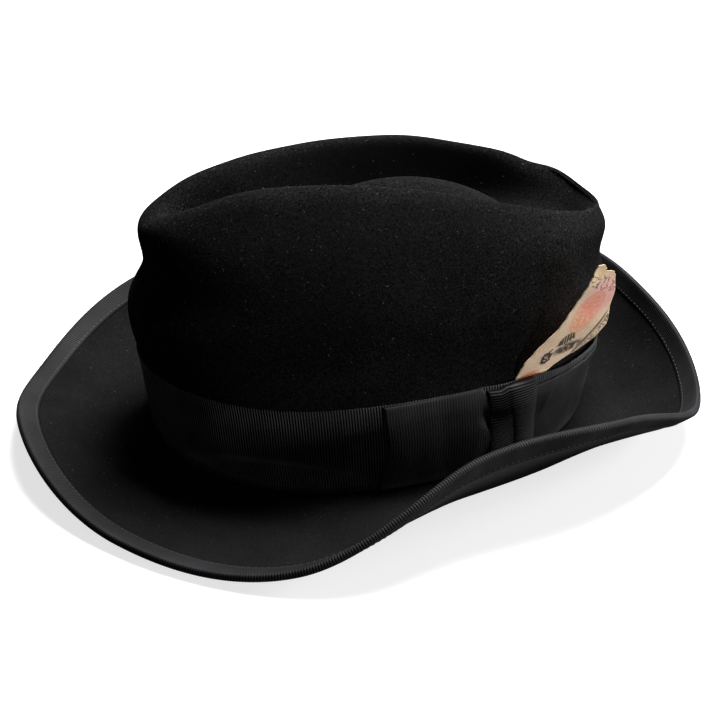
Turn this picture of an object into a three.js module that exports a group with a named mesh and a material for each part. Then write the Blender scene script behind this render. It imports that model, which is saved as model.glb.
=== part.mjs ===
// A soft felt fedora with a teardrop crown, a ribbed ribbon band with a side bow, a bound brim
// and a folded slip of paper tucked behind the band.
// Millimetres, +Z up. The wearer's front is -Y and the wearer's left is +X.
// The origin is the middle of the bounding box, on the surface that the hat rests on.
// A turn is a place around the hat: 0 is the front, 0.25 the left side, 0.5 the back.

import * as THREE from 'three';

// Thicknesses, and the clearance between pieces that touch.
const FELT = 2;
const RIBBON = 1;
const PAPER = 1;
const GAP = 0.3;

// The band: its width, and its foot above the root line of the brim.
const BAND_FOOT = 4.8;
const BAND_TOP = 41.5;

// How the hat settles on its lowest places: a small turn about X and about Y, in degrees, and
// the height of the surface under it. What would reach lower is flattened to that height.
const SETTLE = { aboutX: -2, aboutY: -1.2, surface: 1.35 };
const BOX_MIDDLE = { x: -0.6, y: -7.6 };

// Facets around the felt, the band and the binding.
const COLUMNS = 56;

// Rows of named numbers.
function table(columns, ...rows) {
  const names = columns.trim().split(/\s+/);
  return rows.map((row) => Object.fromEntries(names.map((name, i) => [name, row[i]])));
}

// The crown's sections, from the hump in the middle of its top out over the ridge and down to
// the root of the brim. A section is an oval about the point y = mid. Its half lengths reach
// front and back. Its half widths w and heights z are given at the front, between front and
// side (fore), at the side, between side and back (rear) and at the back.
const CROWN = table(
  'mid  front   back  wFore wSide wRear wBack  zFront zFore zSide  zRear  zBack',
  [12, 34, 38, 12, 14, 16, 18, 108.4, 107.7, 106, 104.1, 103.3],
  [17, 64, 55, 13.5, 24.5, 39, 36, 96, 94, 91, 83, 85],
  [12, 84, 78, 12.7, 30, 54, 57, 98.5, 103, 100, 85, 85],
  [5, 92, 91, 17.7, 32.5, 56.5, 67, 99, 117.5, 118, 103.5, 90],
  [1, 94, 102, 29.5, 37.5, 62, 82.5, 109, 120, 121, 106.3, 98],
  [0, 106, 101, 41, 48.5, 71, 86.5, 103.5, 109.5, 112, 102, 96.5],
  [0, 104.5, 107, 60, 60, 77, 85.5, 94.5, 98.5, 99.7, 95.5, 89.5],
  [0, 100.2, 101, 78, 71, 80, 82, 79.8, 79.8, 80, 81, 80],
  [0, 113, 110.3, 85, 75.5, 85.5, 84, 65, 60.7, 57.5, 58, 58.5],
  [0, 105, 105.4, 82.2, 76.7, 83.3, 82, 41.6, 41.6, 41.6, 41.6, 41.6],
  [0, 103, 101.2, 82, 81.6, 82.2, 82, 26, 26, 26, 26, 26],
  [0, 101, 100, 82, 82, 82, 82, 12, 12, 12, 12, 12],
  [0, 97.7, 94.7, 87, 80.5, 85, 83, 3.3, 3.3, 3.3, 3.3, 3.3],
);
// The top's middle, and the height of the first section's slanting plane above it.
const TOP_MIDDLE = { y: 12, z: 113.7, plane: 106 };

// The root line climbs from the front to the back, and takes the sections near it along.
const ROOT_RISE = { front: 0, fore: 0, side: 2.3, rear: 6, back: 4 };
const RISE_SHARE_BY_LEVEL = [1, 1, 1, 1, 0.5];

// Soft dents in the crown's wall. The level counts sections up from the root, the angle is in
// degrees from the front, and the halves say how far a dent spreads before it fades.
const DENTS = table(
  'angle level depth halfAngle halfLevel',
  [46, 5.1, 2, 28, 1.2],
  [-46, 5.1, 3.2, 27, 1.3],
);

// The same for the ridge round the top, but downwards: a notch and two swells.
const RIDGE_CHANGES = table(
  'angle level depth halfAngle halfLevel',
  [-152.6, 8, 1.1, 6.7, 1.5],
  [-166, 8, -1.7, 10, 1.5],
  [66, 8, -2.2, 20, 1.5],
);

// The brim, every 30 degrees from the front over the left: its width along the felt, and its
// slope in degrees where it leaves the crown and at its edge.
const BRIM = table(
  'width rootSlope edgeSlope',
  [58.6, 5.3, 24.2],
  [56.9, -7.1, 13.2],
  [58.7, -5.6, 21.3],
  [57.3, 18.6, 79.4],
  [58.1, 27.8, 55.6],
  [54.9, -0.6, 41.8],
  [57, 14.9, 79.6],
  [63.4, 24.1, 55.2],
  [60.7, 17.5, 51],
  [59, 14.1, 55.8],
  [59.1, 14.6, 51.1],
  [58.2, 4.8, 10.5],
);
const BRIM_CURL = 1.47;
const BRIM_SHARES = [0.08, 0.22, 0.4, 0.58, 0.76, 0.9, 1];
const ROOT_RADIUS = 3.7;
const ROOT_HEIGHT = 0.3;

// Under its binding the felt is skived: these are its two faces there, off its upper side, and
// where it ends.
const SKIVED = { upper: -0.7, lower: -1.9, edge: -0.3 };

// The bow, by angle from the front, and its pieces: how full the wings stand off the band, how
// far their edges turn in, and how thick the knot's two pleats are.
const BOW = { leftEnd: 77, knotStart: 102.5, pleat: 109.6, knotEnd: 115.5, rightEnd: 156 };
const KNOT_GAP = 0.3;
const WING_FOOT = BAND_FOOT + 0.3;
const WING_TOP = BAND_TOP - 0.3;
const LEFT_WING = { fullness: 1.6, foldEnd: 0.5, topDrop: 6, footRise: 3 };
const RIGHT_WING = { fullness: 1.2, topBelow: 3, cornerDrop: 1.5, footRise: 2 };
const KNOT = { frontPleat: 2.6, rearPleat: 3.2, crown: 0.8, hemDrop: 1.2 };

// The paper, by height above the band's top edge: where its left and right edges stand. Its
// lowest row is tucked behind the band.
const PAPER_ROWS = table(
  'up left right',
  [-9, 109.5, 143],
  [0, 110.3, 142],
  [7.5, 111.5, 140],
  [14, 114.8, 138],
  [22, 119.1, 136.2],
  [32, 122.2, 134],
  [42.5, 123.9, 131.5],
  [50.5, 124.7, 125.8],
);

// The paper leans out above the band. Its right part flares out of the band's pocket, which
// opens and closes between these angles, and bends over the band's edge.
const PAPER_LEAN = 0.35;
const PAPER_BEND = 4.4;
const POCKET = { depth: 0.6, opens: 122, open: 142, closes: 143, closed: 152 };

const TURN = 2 * Math.PI;

// A smooth closed curve through equally spaced values, at the given turn.
function loop(values, turn) {
  const n = values.length;
  const u = (((turn % 1) + 1) % 1) * n;
  const i = Math.floor(u);
  const f = u - i;
  const [a, b, c, d] = [n - 1, 0, 1, 2].map((k) => values[(i + k) % n]);
  return b + 0.5 * f * (c - a + f * (2 * a - 5 * b + 4 * c - d + f * (3 * (b - c) + d - a)));
}

// The same through values that the left and the right side share.
function mirrored(front, fore, side, rear, back, turn) {
  return loop([front, fore, side, rear, back, rear, side, fore], turn);
}

function smooth(low, high, x) {
  return THREE.MathUtils.smoothstep(x, low, high);
}

function rootRise(turn) {
  const { front, fore, side, rear, back } = ROOT_RISE;
  return mirrored(front, fore, side, rear, back, turn);
}

// How much of a dent is felt at a turn and a level.
function fade(dent, turn, level) {
  const away = THREE.MathUtils.euclideanModulo(turn - dent.angle / 360 + 0.5, 1) - 0.5;
  const across = (away * 360) / dent.halfAngle;
  const along = (level - dent.level) / dent.halfLevel;
  return Math.exp(-across * across - along * along);
}

// A section's point, and the direction out of the crown there, in plan.
function sectionPoint(row, turn) {
  const length = mirrored(
    row.front, row.front, (row.front + row.back) / 2, row.back, row.back, turn);
  const width = mirrored(row.wFore, row.wFore, row.wSide, row.wRear, row.wBack, turn);
  const height = mirrored(row.zFront, row.zFore, row.zSide, row.zRear, row.zBack, turn);
  const sine = Math.sin(TURN * turn);
  const cosine = Math.cos(TURN * turn);
  const point = new THREE.Vector3(width * sine, row.mid - length * cosine, height);
  const outward = new THREE.Vector3(length * sine, -width * cosine, 0).normalize();
  return { point, outward };
}

// The brim's slope is rootSlope at the crown and turns into edgeSlope towards the edge. These
// are the places along it, as a distance out from the root and a height, for a width of 1.
function brimProfile(rootSlope, edgeSlope) {
  const steps = 40;
  const slope = (share) => rootSlope + (edgeSlope - rootSlope) * share ** BRIM_CURL;
  const out = [0];
  const up = [0];
  for (let i = 1; i <= steps; i += 1) {
    const before = THREE.MathUtils.degToRad(slope((i - 1) / steps));
    const after = THREE.MathUtils.degToRad(slope(i / steps));
    out.push(out[i - 1] + (Math.cos(before) + Math.cos(after)) / 2 / steps);
    up.push(up[i - 1] + (Math.sin(before) + Math.sin(after)) / 2 / steps);
  }
  const read = (list, share) => {
    const i = Math.min(Math.floor(share * steps), steps - 1);
    return THREE.MathUtils.lerp(list[i], list[i + 1], share * steps - i);
  };
  return BRIM_SHARES.map((share) => ({ out: read(out, share), up: read(up, share) }));
}

// The control points of the felt's upper side at a turn, from the middle of the top over the
// crown's sections to the edge of the brim.
function controlPoints(turn) {
  const points = [new THREE.Vector3(0, TOP_MIDDLE.y, TOP_MIDDLE.z)];
  let root = null;
  CROWN.forEach((row, i) => {
    const level = CROWN.length - 1 - i;
    const { point, outward } = sectionPoint(row, turn);
    point.z += (RISE_SHARE_BY_LEVEL[level] ?? 0) * rootRise(turn);
    for (const dent of DENTS) {
      point.addScaledVector(outward, -dent.depth * fade(dent, turn, level));
    }
    for (const change of RIDGE_CHANGES) {
      point.z -= change.depth * fade(change, turn, level);
    }
    points.push(point);
    root = { point, outward };
  });
  const column = (name) => loop(BRIM.map((row) => row[name]), turn);
  const width = column('width');
  for (const place of brimProfile(column('rootSlope'), column('edgeSlope'))) {
    const point = root.point.clone();
    point.addScaledVector(root.outward, ROOT_RADIUS + width * place.out);
    point.z = ROOT_HEIGHT + rootRise(turn) + width * place.up;
    points.push(point);
  }
  const before = points[0].clone().multiplyScalar(2).sub(points[1]);
  before.z = 2 * TOP_MIDDLE.plane - points[1].z;
  const after = points.at(-1).clone().multiplyScalar(2).sub(points.at(-2));
  return [before, ...points, after];
}

const controlCache = new Map();

// The felt's upper side before the hat settles. The station counts control points from the
// middle of the top: ROOT is the root of the brim and EDGE its edge.
const ROOT = CROWN.length;
const EDGE = CROWN.length + BRIM_SHARES.length;
function unsettled(turn, station) {
  const key = turn.toFixed(7);
  if (!controlCache.has(key)) {
    controlCache.set(key, controlPoints(turn));
  }
  const points = controlCache.get(key);
  const i = Math.min(Math.floor(station), EDGE - 1);
  const f = station - i;
  const weights = [
    (1 - f) ** 3 / 6,
    (3 * f ** 3 - 6 * f ** 2 + 4) / 6,
    (-3 * f ** 3 + 3 * f ** 2 + 3 * f + 1) / 6,
    f ** 3 / 6,
  ];
  const point = new THREE.Vector3();
  weights.forEach((weight, k) => point.addScaledVector(points[i + k], weight));
  return point;
}

const settling = new THREE.Matrix4().makeRotationFromEuler(new THREE.Euler(
  THREE.MathUtils.degToRad(SETTLE.aboutX), THREE.MathUtils.degToRad(SETTLE.aboutY), 0));

// The felt's upper side, its outward normal and the direction towards the brim's edge.
function felt(turn, station) {
  const small = 1e-4;
  const point = unsettled(turn, station).applyMatrix4(settling);
  const low = Math.max(station - small, 0);
  const high = Math.min(station + small, EDGE);
  const out = unsettled(turn, high).sub(unsettled(turn, low)).transformDirection(settling);
  const around = unsettled(turn + small, station).sub(unsettled(turn - small, station));
  around.transformDirection(settling);
  const normal = out.clone().cross(around).normalize();
  return { point, normal, out };
}

// The least heights above the surface under the hat, for the faces of the layers at the edge.
const SKIVED_AT_REST = 0.8;
const LAYERS = {
  innerLower: RIBBON,
  feltLower: RIBBON + GAP,
  feltUpper: RIBBON + GAP + SKIVED_AT_REST,
  innerUpper: RIBBON + 2 * GAP + SKIVED_AT_REST,
  outerUpper: 2 * RIBBON + 2 * GAP + SKIVED_AT_REST,
};

// A point off a place on the felt: to its upper side, outward, and at least so far above the
// surface under the hat.
function off(place, side, outward, above) {
  const point = place.point.clone();
  point.addScaledVector(place.normal, side).addScaledVector(place.out, outward);
  point.z = Math.max(point.z, SETTLE.surface + above);
  return point;
}

// The station of the crown's wall at a height above the root line.
function wallStation(turn, height) {
  let low = ROOT - 4;
  let high = ROOT;
  for (let i = 0; i < 30; i += 1) {
    const middle = (low + high) / 2;
    if (unsettled(turn, middle).z - rootRise(turn) > height) {
      low = middle;
    } else {
      high = middle;
    }
  }
  return (low + high) / 2;
}

// The heights of the rows of facets over the band, which the felt behind it shares. The band
// stands off the wall above the tuck's foot where the paper is tucked behind it.
const BAND_ROWS = [BAND_FOOT, 8, 13, 22, 32, BAND_TOP];
const [TUCK_FOOT, TUCK_FULL] = [22, 32];

// How wide the pocket stands open at a turn and a height.
function pocket(turn, height) {
  const angle = turn * 360;
  const { depth, opens, open, closes, closed } = POCKET;
  const across = smooth(opens, open, angle) * (1 - smooth(closes, closed, angle));
  return (depth * across * Math.max(height - TUCK_FOOT, 0)) / (BAND_TOP - TUCK_FOOT);
}

// How far the band stands off the wall. Between the band's facets this runs straight, so that
// what lies on the band follows them.
const TUCK = { opens: 101, open: 108, closes: 144, closed: 150 };
function bandStand(turn, height) {
  const along = THREE.MathUtils.clamp((height - TUCK_FOOT) / (TUCK_FULL - TUCK_FOOT), 0, 1);
  const standAt = (facet) => {
    const angle = (facet * 360) / COLUMNS;
    const { opens, open, closes, closed } = TUCK;
    const across = smooth(opens, open, angle) * (1 - smooth(closes, closed, angle));
    return (PAPER + 2 * GAP) * across * along + pocket(facet / COLUMNS, height);
  };
  const facet = Math.floor(turn * COLUMNS);
  return THREE.MathUtils.lerp(standAt(facet), standAt(facet + 1), turn * COLUMNS - facet);
}

// A place on the crown's wall: a height above the root line, and a distance out from the felt.
function wall(turn, height, out) {
  const small = 1e-4;
  const point = unsettled(turn, wallStation(turn, height));
  const around = unsettled(turn + small, wallStation(turn + small, height)).sub(point);
  const outward = new THREE.Vector3(around.y, -around.x, 0).normalize();
  point.addScaledVector(outward, out);
  point.z = height + rootRise(turn);
  return point.applyMatrix4(settling);
}

// A place off the band's inner face.
function ribbon(turn, height, out) {
  return wall(turn, height, GAP + bandStand(turn, height) + out);
}

function closedGeometry(points, faces) {
  const geometry = new THREE.BufferGeometry();
  let volume = 0;
  for (const [a, b, c] of faces) {
    volume += points[a].dot(points[b].clone().cross(points[c]));
  }
  const index = volume > 0 ? faces : faces.map(([a, b, c]) => [a, c, b]);
  geometry.setFromPoints(points);
  geometry.setIndex(index.flat());
  geometry.computeVertexNormals();
  return geometry;
}

// A closed solid through rings of points, which either closes on its first ring or ends in a
// point at both ends.
function ringSolid(rings, ends = null) {
  const points = rings.flat();
  const n = rings[0].length;
  const faces = [];
  const bands = ends ? rings.length - 1 : rings.length;
  for (let i = 0; i < bands; i += 1) {
    const next = (i + 1) % rings.length;
    for (let j = 0; j < n; j += 1) {
      const k = (j + 1) % n;
      faces.push([i * n + j, i * n + k, next * n + k]);
      faces.push([i * n + j, next * n + k, next * n + j]);
    }
  }
  if (ends) {
    const first = points.push(ends[0]) - 1;
    const last = points.push(ends[1]) - 1;
    const base = (rings.length - 1) * n;
    for (let j = 0; j < n; j += 1) {
      const k = (j + 1) % n;
      faces.push([first, k, j]);
      faces.push([last, base + j, base + k]);
    }
  }
  return closedGeometry(points, faces);
}

// A closed solid between two equal grids of points, an outer and an inner one.
function sheetSolid(outer, inner) {
  const columns = outer.length;
  const rows = outer[0].length;
  const points = [...outer.flat(), ...inner.flat()];
  const back = columns * rows;
  const faces = [];
  const quad = (a, b, c, d) => faces.push([a, b, c], [a, c, d]);
  for (let i = 0; i < columns - 1; i += 1) {
    for (let j = 0; j < rows - 1; j += 1) {
      const a = i * rows + j;
      quad(a, a + rows, a + rows + 1, a + 1);
      quad(back + a, back + a + 1, back + a + rows + 1, back + a + rows);
    }
    const low = i * rows;
    const high = low + rows - 1;
    quad(low, back + low, back + low + rows, low + rows);
    quad(high, high + rows, back + high + rows, back + high);
  }
  for (let j = 0; j < rows - 1; j += 1) {
    const last = (columns - 1) * rows + j;
    quad(j, j + 1, back + j + 1, back + j);
    quad(last, back + last, back + last + 1, last + 1);
  }
  return closedGeometry(points, faces);
}

function steps(from, to, count) {
  return Array.from({ length: count + 1 }, (_, i) => from + ((to - from) * i) / count);
}

const ringTurns = steps(0, 1, COLUMNS).slice(0, -1);
const hat = new THREE.Group();
hat.position.set(-BOX_MIDDLE.x, -BOX_MIDDLE.y, -SETTLE.surface);

function add(name, geometry, look) {
  const mesh = new THREE.Mesh(geometry, new THREE.MeshStandardMaterial({ metalness: 0, ...look }));
  mesh.name = name;
  hat.add(mesh);
}

// The stations where the binding's strips start, and their middle.
const BINDING_START = EDGE - 1.4;
const BINDING_MIDDLE = EDGE - 0.7;

// The felt: its upper side from the middle of the top to the brim's edge, and back along its
// underside.
function feltBody() {
  const overCrown = [
    ...steps(0.6, 3, 4),
    ...steps(3.5, 6, 6),
    ...steps(6.6, 9.2, 4),
  ].map((station) => () => station);
  const behindBand = BAND_ROWS.map((height) => (turn) => wallStation(turn, height)).reverse();
  const overBrim = [
    ...steps(13.35, 14.15, 2),
    ...steps(15, 17.5, 2),
    BINDING_START,
    BINDING_MIDDLE,
    EDGE,
  ].map((station) => () => station);
  const upper = [];
  const under = [];
  for (const stationAt of [...overCrown, ...behindBand, ...overBrim]) {
    const bound = stationAt(0) >= BINDING_START;
    const along = stationAt(0) === EDGE ? SKIVED.edge : 0;
    const places = ringTurns.map((turn) => felt(turn, stationAt(turn)));
    const face = (side, above) => places.map((place) => off(place, side, along, above));
    upper.push(bound ? face(SKIVED.upper, LAYERS.feltUpper) : face(0, FELT * 0.6));
    under.push(bound ? face(SKIVED.lower, LAYERS.feltLower) : face(-FELT, 0));
  }
  const top = unsettled(0, 0).applyMatrix4(settling);
  const topUnder = top.clone().add(new THREE.Vector3(0, 0, -FELT));
  return ringSolid([...upper, ...under.reverse()], [top, topUnder]);
}

// The band: a closed loop of ribbon around the foot of the crown.
function hatBand() {
  const ring = (height, out) => ringTurns.map((turn) => ribbon(turn, height, out));
  const outer = BAND_ROWS.map((height) => ring(height, RIBBON));
  const inner = BAND_ROWS.map((height) => ring(height, 0));
  return ringSolid([...outer, ...inner.reverse()]);
}

// The binding: a ribbon folded over the brim's edge. Its section runs over the upper strip,
// round the edge and back under the lower strip, and returns along the ribbon's inner face.
function brimBinding() {
  const upper = SKIVED.upper + GAP + RIBBON;
  const lower = SKIVED.lower - GAP - RIBBON;
  const edge = SKIVED.edge + GAP + RIBBON;
  const section = (turn) => {
    const [start, middle, end] = [BINDING_START, BINDING_MIDDLE, EDGE].map((at) => felt(turn, at));
    return [
      off(start, upper - RIBBON, 0, LAYERS.innerUpper),
      off(middle, upper - RIBBON, 0, LAYERS.innerUpper),
      off(end, upper - RIBBON, edge - RIBBON, LAYERS.innerUpper),
      off(end, lower + RIBBON, edge - RIBBON, LAYERS.innerLower),
      off(middle, lower + RIBBON, 0, LAYERS.innerLower),
      off(start, lower + RIBBON, 0, LAYERS.innerLower),
      off(start, lower, 0, 0),
      off(middle, lower, 0, 0),
      off(end, lower, edge / 2, 0),
      off(end, (upper + lower) / 2, edge, (LAYERS.innerLower + LAYERS.innerUpper) / 2),
      off(end, upper, edge / 2, LAYERS.outerUpper),
      off(middle, upper, 0, LAYERS.outerUpper),
      off(start, upper, 0, LAYERS.outerUpper),
    ];
  };
  return ringSolid(ringTurns.map(section));
}

// A piece of the bow: a sheet between two angles, whose edges and faces follow the functions
// given. Their first argument runs from 0 to 1 along the band.
function bowPiece(from, to, columns, rows, bottom, top, inner, outer) {
  const grid = (out) => steps(0, 1, columns).map((u) => {
    const turn = THREE.MathUtils.lerp(from, to, u) / 360;
    return steps(bottom(u), top(u), rows).map((height, i) => (
      ribbon(turn, height, RIBBON + GAP + out(u, i / rows))));
  });
  return sheetSolid(grid(outer), grid(inner));
}

// The bow's left wing: the ribbon's flat fold, fuller and rounded off towards the knot, with the
// turn of its fold at the far end.
function bowLeftWing() {
  const { fullness, foldEnd, topDrop, footRise } = LEFT_WING;
  const full = (u, v) => fullness * smooth(0.55, 0.9, u) * Math.sin(Math.PI * v);
  const top = (u) => WING_TOP - topDrop * smooth(0.88, 1, u);
  const foot = (u) => WING_FOOT + footRise * smooth(0.8, 1, u);
  const outer = (u, v) => full(u, v) + RIBBON + foldEnd * (1 - smooth(0, 0.1, u));
  return bowPiece(BOW.leftEnd, BOW.knotStart - KNOT_GAP, 12, 6, foot, top, full, outer);
}

// The bow's right wing, lower than the band's top edge.
function bowRightWing() {
  const { fullness, topBelow, cornerDrop, footRise } = RIGHT_WING;
  const nearKnot = (u) => 1 - smooth(0, 0.2, u);
  const nearEnd = (u) => smooth(0.8, 1, u);
  const top = (u) => BAND_TOP - topBelow - cornerDrop * (nearKnot(u) + nearEnd(u));
  const foot = (u) => WING_FOOT + footRise * nearKnot(u);
  const full = (u, v) => fullness * (1 - smooth(0.05, 0.5, u)) * Math.sin(Math.PI * v);
  const outer = (u, v) => full(u, v) + RIBBON;
  return bowPiece(BOW.knotEnd + KNOT_GAP, BOW.rightEnd, 14, 6, foot, top, full, outer);
}

// The bow's knot: two pleats of ribbon wrapped over its middle, the rear one on top.
function bowKnot() {
  const { frontPleat, rearPleat, crown, hemDrop } = KNOT;
  const middle = (BOW.pleat - BOW.knotStart) / (BOW.knotEnd - BOW.knotStart);
  const outer = (u, v) => {
    const pleat = u < middle ? frontPleat : rearPleat;
    const across = Math.sqrt(Math.max(Math.sin(Math.PI * u), 0));
    const upDown = Math.max(Math.sin(Math.PI * v), 0);
    return pleat + crown * across - hemDrop * (1 - upDown);
  };
  const top = (u) => BAND_TOP - 0.8 + u;
  return bowPiece(BOW.knotStart, BOW.knotEnd, 8, 6, () => WING_FOOT, top, () => 0, outer);
}

// The paper: a folded slip that stands behind the band's top edge and leans out over it.
function paperSlip() {
  const bend = (angle, up) => {
    const across = smooth(POCKET.opens, POCKET.open, angle);
    return PAPER_BEND * across * smooth(0, 8, up);
  };
  const place = (angle, up, out) => {
    const height = BAND_TOP + Math.min(up, 0);
    const lean = PAPER_LEAN * Math.max(up, 0) + bend(angle, up) + pocket(angle / 360, height);
    const point = wall(angle / 360, height, GAP + lean + out);
    point.z += Math.max(up, 0);
    return point;
  };
  const grid = (out) => PAPER_ROWS.map(({ up, left, right }) => (
    steps(left, right, 6).map((angle) => place(angle, up, out))));
  return sheetSolid(grid(PAPER), grid(0));
}

add('felt_body', feltBody(), { color: 0x17171a, roughness: 0.95 });
add('hat_band', hatBand(), { color: 0x101013, roughness: 0.7 });
add('bow_left_wing', bowLeftWing(), { color: 0x141418, roughness: 0.7 });
add('bow_right_wing', bowRightWing(), { color: 0x141418, roughness: 0.7 });
add('bow_knot', bowKnot(), { color: 0x15151a, roughness: 0.7 });
add('brim_binding', brimBinding(), { color: 0x1b1b20, roughness: 0.7 });
add('paper_slip', paperSlip(), { color: 0xd9cdb2, roughness: 0.85 });

export default hat;
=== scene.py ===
import math

import bpy
import numpy as np
from mathutils import Matrix, Vector


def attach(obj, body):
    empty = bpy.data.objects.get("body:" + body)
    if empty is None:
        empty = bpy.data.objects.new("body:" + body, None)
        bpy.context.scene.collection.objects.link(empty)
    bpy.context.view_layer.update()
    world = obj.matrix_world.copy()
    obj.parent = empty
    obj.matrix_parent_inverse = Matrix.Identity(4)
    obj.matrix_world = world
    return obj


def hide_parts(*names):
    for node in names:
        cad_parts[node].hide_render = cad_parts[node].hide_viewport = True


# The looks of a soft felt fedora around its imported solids. Shapes are worked out in millimetres
# in the same frame as the solids and written in metres.

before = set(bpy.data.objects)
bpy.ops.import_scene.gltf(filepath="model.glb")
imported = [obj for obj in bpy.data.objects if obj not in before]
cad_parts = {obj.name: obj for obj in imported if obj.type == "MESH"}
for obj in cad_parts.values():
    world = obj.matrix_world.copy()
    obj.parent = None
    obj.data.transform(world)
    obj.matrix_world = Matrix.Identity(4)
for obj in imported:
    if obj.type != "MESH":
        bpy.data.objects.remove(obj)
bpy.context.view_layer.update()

TURN = 2 * math.pi
MM = 0.001
SMALL = 1e-4

# Thicknesses of felt, ribbon, paper and the slip's solid, and the gap between the solids' layers.
FELT, RIBBON, PAPER, SLIP, GAP = 2.0, 0.55, 0.35, 1, 0.3

# How the hat settles on the floor, in degrees, the height of the floor then, and the place that
# becomes the frame's origin.
SETTLE_X, SETTLE_Y, SURFACE = -2.0, -1.2, 1.35
ORIGIN = (-0.6, -7.6, SURFACE)

# Sections of the crown: mid front back, widths fore side rear back, heights front fore side
# rear back.
CROWN = [
    (12, 34, 38, 12, 14, 16, 18, 108.4, 107.7, 106, 104.1, 103.3),
    (17, 64, 55, 13.5, 24.5, 39, 36, 96, 94, 91, 83, 85),
    (12, 84, 78, 12.7, 30, 54, 57, 98.5, 103, 100, 85, 85),
    (5, 92, 91, 17.7, 32.5, 56.5, 67, 99, 117.5, 118, 103.5, 90),
    (1, 94, 102, 29.5, 37.5, 62, 82.5, 109, 120, 121, 106.3, 98),
    (0, 106, 101, 41, 48.5, 71, 86.5, 103.5, 109.5, 112, 102, 96.5),
    (0, 104.5, 107, 60, 60, 77, 85.5, 94.5, 98.5, 99.7, 95.5, 89.5),
    (0, 100.2, 101, 78, 71, 80, 82, 79.8, 79.8, 80, 81, 80),
    (0, 113, 110.3, 85, 75.5, 85.5, 84, 65, 60.7, 57.5, 58, 58.5),
    (0, 105, 105.4, 82.2, 76.7, 83.3, 82, 41.6, 41.6, 41.6, 41.6, 41.6),
    (0, 103, 101.2, 82, 81.6, 82.2, 82, 26, 26, 26, 26, 26),
    (0, 101, 100, 82, 82, 82, 82, 12, 12, 12, 12, 12),
    (0, 97.7, 94.7, 87, 80.5, 85, 83, 3.3, 3.3, 3.3, 3.3, 3.3),
]
# The middle of the crown's top, and the height of the plane around it.
TOP_MIDDLE, TOP_RING = (0, 12, 113.7), 106
# How far the brim's root rises at front, fore, side, rear and back, and the share of that in
# each section from the root upwards.
ROOT_RISE = (0, 0, 2.3, 6, 4)
RISE_SHARE = (1, 1, 1, 1, 0.5)
# Dents in the side: angle level depth halfAngle halfLevel
DENTS = [(46, 5.1, 2, 28, 1.2), (-46, 5.1, 3.2, 27, 1.3)]
# The same, but down: a notch in the ridge and two swells of it.
RIM = [(-152.6, 8, 1.1, 6.7, 1.5), (-166, 8, -1.7, 10, 1.5), (66, 8, -2.2, 20, 1.5)]
# The brim every 30 degrees: width rootSlope edgeSlope
BRIM = [
    (58.6, 5.3, 24.2),
    (56.9, -7.1, 13.2),
    (58.7, -5.6, 21.3),
    (57.3, 18.6, 79.4),
    (58.1, 27.8, 55.6),
    (54.9, -0.6, 41.8),
    (57, 14.9, 79.6),
    (63.4, 24.1, 55.2),
    (60.7, 17.5, 51),
    (59, 14.1, 55.8),
    (59.1, 14.6, 51.1),
    (58.2, 4.8, 10.5),
]
# The power by which the brim's slope grows, its sections, and the steps that add it up.
BRIM_CURL, BRIM_SHARES, BRIM_STEPS = 1.47, (0.08, 0.22, 0.4, 0.58, 0.76, 0.9, 1), 40
# How far the brim starts out from the last section of the crown, and how high.
ROOT_RADIUS, ROOT_HEIGHT = 3.7, 0.3
# The stations of the brim's root and edge.
ROOT = len(CROWN)
EDGE = ROOT + len(BRIM_SHARES)

# Heights of the band above the root, and of the line along which its ribs are spaced.
BAND_FOOT, BAND_MIDDLE, BAND_TOP = 4.8, 24.0, 41.5
# Where the slip pushes the band out: heights, and angles where that starts and ends.
TUCK_FOOT, TUCK_FULL, TUCK = 22, 32, (101, 108, 144, 150)
POCKET_DEPTH, POCKET = 0.6, (122, 142, 143, 152)


# Part: the felt's surface


def loop(values, turn):
    """A smooth closed curve through values that are spaced evenly around."""
    values = np.asarray(values, float)
    n = len(values)
    u = np.mod(turn, 1.0) * n
    whole = np.floor(u)
    f = u - whole
    i = whole.astype(int)
    a, b, c, d = (values[(i + k) % n] for k in (-1, 0, 1, 2))
    return b + 0.5 * f * (c - a + f * (2 * a - 5 * b + 4 * c - d + f * (3 * (b - c) + d - a)))


def mirrored(front, fore, side, rear, back, turn):
    """A closed curve that is the same on the left and the right."""
    return loop([front, fore, side, rear, back, rear, side, fore], turn)


def smooth(low, high, x):
    """Rises from 0 at low to 1 at high."""
    t = np.clip((np.asarray(x, float) - low) / (high - low), 0, 1)
    return t * t * (3 - 2 * t)


def window(opens, x):
    """Rises between the first two places and falls between the last two."""
    return smooth(opens[0], opens[1], x) * (1 - smooth(opens[2], opens[3], x))


def hump(x, centre, half):
    """A bell around a centre."""
    return np.exp(-((x - centre) / half) ** 2)


def rounded(share):
    """A quarter circle that rises from 0 to 1."""
    return np.sqrt(1 - (1 - share) ** 2)


def lerp(a, b, t):
    return a + (b - a) * t


def unit(v):
    return v / np.maximum(np.linalg.norm(v, axis=-1, keepdims=True), 1e-12)


def root_rise(turn):
    return mirrored(*ROOT_RISE, turn)


def fade(dent, turn, level):
    """How much of a dent there is at a turn and a level."""
    angle, centre, _, half_angle, half_level = dent
    away = np.mod(turn - angle / 360 + 0.5, 1) - 0.5
    return np.exp(-((away * 360 / half_angle) ** 2) - ((level - centre) / half_level) ** 2)


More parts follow.
